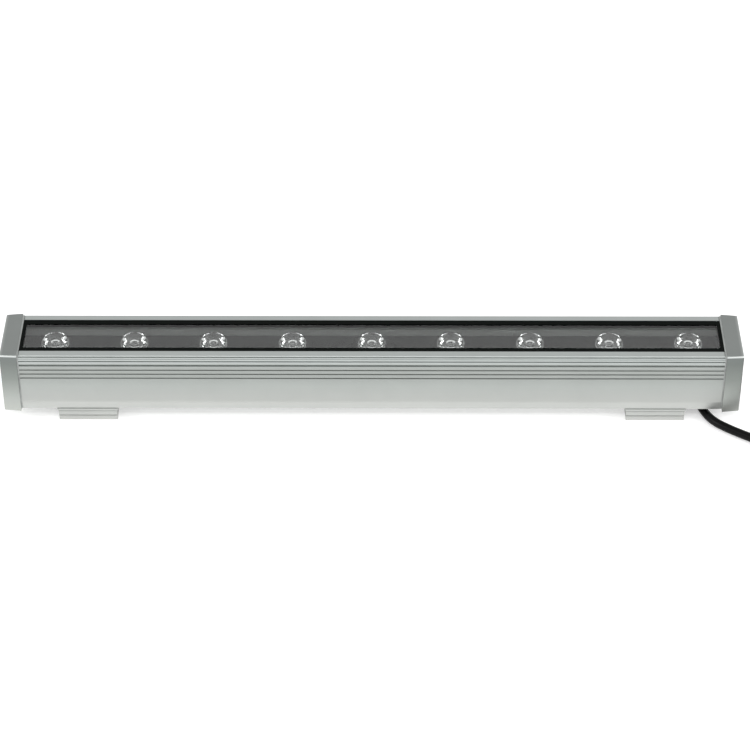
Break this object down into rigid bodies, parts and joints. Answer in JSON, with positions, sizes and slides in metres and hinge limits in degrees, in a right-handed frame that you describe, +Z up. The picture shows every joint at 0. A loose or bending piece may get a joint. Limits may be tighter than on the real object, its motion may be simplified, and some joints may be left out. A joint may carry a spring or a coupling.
{
  "type": "led strip batten",
  "caption": "Slim aluminium light bar: row of clear lenses under a glass window, cast end caps, sliding tilting brackets and a supply cord.",
  "frame": {"origin": "centre of the bar's footprint, on the surface under its feet", "axes": "+X along the bar towards the end where the cord leaves, -Y the front, +Z up through the window"},
  "size_m": [0.5988, 0.1091, 0.0565],
  "materials": {
    "profile_aluminium": "satin anodised extrusion with fine lines along its length",
    "cast_cap": "die cast, satin grey",
    "gasket_rubber": "matte grey silicone sheet",
    "stainless": "plain stainless fasteners",
    "bracket_aluminium": "satin anodised",
    "window_glass": "clear toughened glass, polished",
    "seal_rubber": "smooth black silicone",
    "board_black": "black solder mask",
    "thermal_pad": "soft grey pad",
    "black_screw": "blackened steel",
    "led_package": "grey package with a clear dome",
    "clear_holder": "clear moulded polycarbonate",
    "lens_acrylic": "clear moulded acrylic",
    "driver_laminate": "green circuit board",
    "insulator_film": "natural polypropylene tray",
    "ferrite": "ferrite with copper winding",
    "capacitor_sleeve": "shrink sleeve",
    "chip_plastic": "moulded epoxy",
    "terminal_plastic": "green terminal block",
    "core_insulation": "PVC core insulation",
    "lead_insulation": "silicone lead insulation",
    "cable_rubber": "black rubber sheath with a slight sheen",
    "tie_fabric": "hook-and-loop strap",
    "connector_plastic": "black glass-filled nylon"
  },
  "bodies": {
    "bar": {"housing_profile": "profile_aluminium", "left_end_cap": "cast_cap", "right_end_cap": "cast_cap", "left_end_gasket": "gasket_rubber", "right_end_gasket": "gasket_rubber", "left_cap_screws": "stainless", "right_cap_screws": "stainless", "cover_glass": "window_glass", "glass_seal": "seal_rubber", "led_board": "board_black", "thermal_pad": "thermal_pad", "board_screws": "black_screw", "led_emitters": "led_package", "lens_holders": "clear_holder", "lens_1": "lens_acrylic", "lens_2": "lens_acrylic", "lens_3": "lens_acrylic", "lens_4": "lens_acrylic", "lens_5": "lens_acrylic", "lens_6": "lens_acrylic", "lens_7": "lens_acrylic", "lens_8": "lens_acrylic", "lens_9": "lens_acrylic", "driver_board": "driver_laminate", "driver_insulator": "insulator_film", "driver_transformer": "ferrite", "driver_capacitors": "capacitor_sleeve", "driver_inductor": "ferrite", "driver_chips": "chip_plastic", "terminal_block": "terminal_plastic", "input_leads": "core_insulation", "output_leads": "lead_insulation", "earth_screw": "stainless", "cable_boot": "cable_rubber", "power_cord": "cable_rubber", "cord_coil": "cable_rubber", "coil_tie": "tie_fabric", "cord_connector": "connector_plastic", "connector_ring": "connector_plastic"},
    "left_bracket": {"left_shoe": "bracket_aluminium", "left_hinge_pin": "stainless", "left_clamp_bolt": "stainless", "left_slot_nut": "stainless"},
    "left_base": {"left_foot": "bracket_aluminium"},
    "right_bracket": {"right_shoe": "bracket_aluminium", "right_hinge_pin": "stainless", "right_clamp_bolt": "stainless", "right_slot_nut": "stainless"},
    "right_base": {"right_foot": "bracket_aluminium"}
  },
  "joints": [
    {"name": "left_slide", "type": "slide", "parent": "bar", "child": "left_bracket", "axis": [1, 0, 0], "range_m": [-0.02, 0.15]},
    {"name": "left_tilt", "type": "hinge", "parent": "left_bracket", "child": "left_base", "pos_m": [-0.1935, 0.019, 0.005], "axis": [1, 0, 0], "range_deg": [0, 90]},
    {"name": "right_slide", "type": "slide", "parent": "bar", "child": "right_bracket", "axis": [1, 0, 0], "range_m": [-0.15, 0]},
    {"name": "right_tilt", "type": "hinge", "parent": "right_bracket", "child": "right_base", "pos_m": [0.1935, 0.019, 0.005], "axis": [1, 0, 0], "range_deg": [0, 90]}
  ],
  "couplings": [
    {"joint": "right_tilt", "follows": "left_tilt", "ratio": 1}
  ]
}
